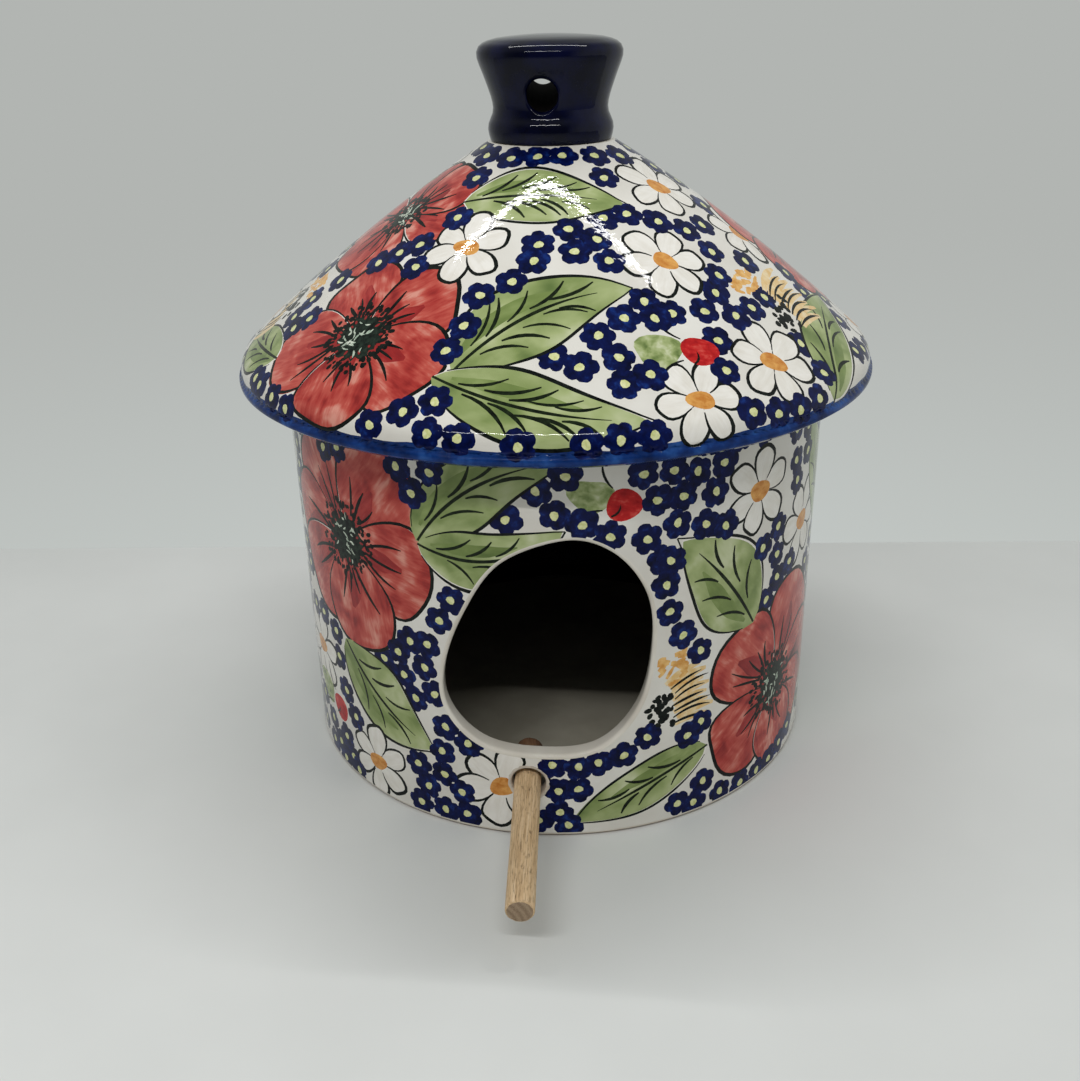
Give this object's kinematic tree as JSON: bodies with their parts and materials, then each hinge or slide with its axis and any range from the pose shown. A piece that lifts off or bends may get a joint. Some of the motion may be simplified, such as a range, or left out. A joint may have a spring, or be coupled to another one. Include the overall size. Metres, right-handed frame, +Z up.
{
  "type": "birdhouse",
  "caption": "Round glazed stoneware birdhouse with a conical roof, a drilled hanging knob, an egg-shaped entrance and a loose dowel perch.",
  "frame": {"origin": "centre of the flat underside, on the surface that the house stands on", "axes": "+Z up through the knob; -Y is the front, the side of the perch; +X to the right of a person facing the front"},
  "size_m": [0.1978, 0.2327, 0.2193],
  "materials": {
    "painted_glaze": "hand-painted flowers and leaves under a clear gloss glaze",
    "clear_glaze": "plain cream stoneware under a clear gloss glaze",
    "inside_glaze": "dark brown gloss glaze",
    "cobalt_glaze": "solid dark cobalt gloss glaze",
    "dowel_wood": "bare sanded hardwood dowel"
  },
  "bodies": {
    "house": {"house_wall": "painted_glaze", "floor_slab": "clear_glaze", "floor_luting_ring": "inside_glaze", "roof_luting_ring": "clear_glaze", "roof": "painted_glaze", "knob_luting_ring": "cobalt_glaze", "hanging_knob": "cobalt_glaze"},
    "perch": {"perch": "dowel_wood"}
  },
  "joints": [
    {"name": "perch_slide", "type": "slide", "parent": "house", "child": "perch", "axis": [0.0852, -0.9933, -0.0785], "range_m": [-0.025, 0.022]}
  ]
}
